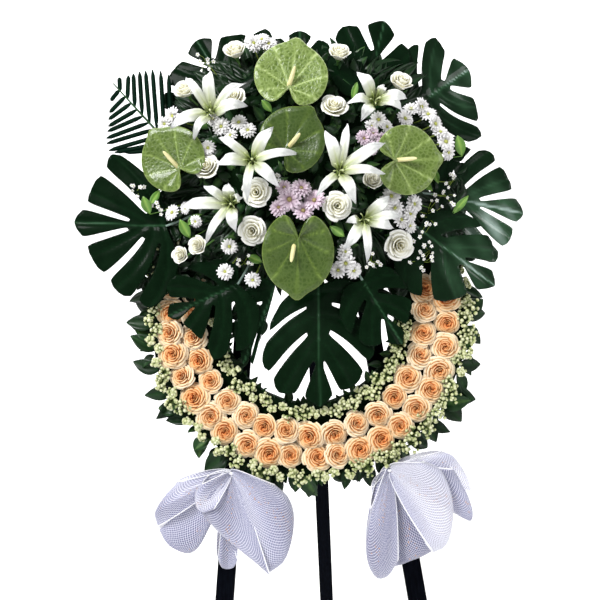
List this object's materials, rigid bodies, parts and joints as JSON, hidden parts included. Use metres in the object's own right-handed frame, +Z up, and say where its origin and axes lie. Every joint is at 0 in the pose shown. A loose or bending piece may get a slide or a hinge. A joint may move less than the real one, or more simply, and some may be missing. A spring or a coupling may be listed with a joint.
{
  "type": "funeral wreath",
  "caption": "Round funeral wreath on a three-legged stand, with rows of peach roses round the ring, a bouquet of lilies and anthuriums over its top, cut leaves and ribbon bows.",
  "frame": {"origin": "floor level, at the middle of the part's footprint box", "axes": "+Z up, the wreath faces -Y, +X is its right as seen from the front"},
  "size_m": [0.9634, 0.7754, 1.6573],
  "materials": {
    "slat": "black painted flat slat, slightly glossy",
    "foam": "green floral foam, dull",
    "leaf": "green leaf, satin",
    "monstera": "dark green leaf, glossy",
    "palm": "green palm leaflets, satin",
    "anthurium": "waxy pale green, glossy, netted veins",
    "spadix": "cream yellow, finely pitted",
    "lily": "white petal, satin",
    "white_rose": "cream white petal, matte",
    "daisy": "white petal, matte",
    "lilac": "pale lilac petal, matte",
    "peach": "peach petal with coral centre, matte",
    "filler": "pale green white floret clusters, matte",
    "ribbon": "open mesh ribbon, white and lavender sheen, corded edges"
  },
  "bodies": {
    "root": {"front_leg_left": "slat", "front_leg_right": "slat", "back_leg": "slat", "head_rail": "slat", "cross_rail": "slat", "spadix_top": "spadix", "anthurium_top": "anthurium", "spadix_left": "spadix", "anthurium_left": "anthurium", "spadix_centre": "spadix", "anthurium_centre": "anthurium", "spadix_right": "spadix", "anthurium_right": "anthurium", "spadix_low": "spadix", "anthurium_low": "anthurium", "lily_left": "lily", "lily_centre": "lily", "lily_low_left": "lily", "lily_top_left": "lily", "lily_top_right": "lily", "lily_low_right": "lily", "white_roses_top_left": "white_rose", "white_roses_top_right": "white_rose", "white_roses_left": "white_rose", "white_roses_right": "white_rose", "daisies_left": "daisy", "daisies_right": "daisy", "daisies_low_right": "daisy", "lilac_daisies": "lilac", "palm_frond": "palm", "monstera_left": "monstera", "monstera_top_left": "monstera", "monstera_top": "monstera", "monstera_top_middle": "monstera", "monstera_top_right": "monstera", "monstera_right": "monstera", "monstera_low_right": "monstera", "monstera_hole": "monstera", "monstera_hole_right": "monstera", "monstera_low_left": "monstera", "bow_left": "ribbon", "bow_right": "ribbon", "peach_roses_outer_left": "peach", "peach_roses_inner_left": "peach", "filler_outer_left": "filler", "ring_leaves_outer_left": "leaf", "peach_roses_outer_low": "peach", "peach_roses_inner_low": "peach", "filler_outer_low": "filler", "ring_leaves_outer_low": "leaf", "peach_roses_outer_right": "peach", "peach_roses_inner_right": "peach", "filler_outer_right": "filler", "ring_leaves_outer_right": "leaf", "filler_inner_left": "filler", "ring_leaves_inner_left": "leaf", "filler_inner_right": "filler", "ring_leaves_inner_right": "leaf", "bouquet_bed": "leaf", "ring_base": "foam"}
  },
  "joints": []
}
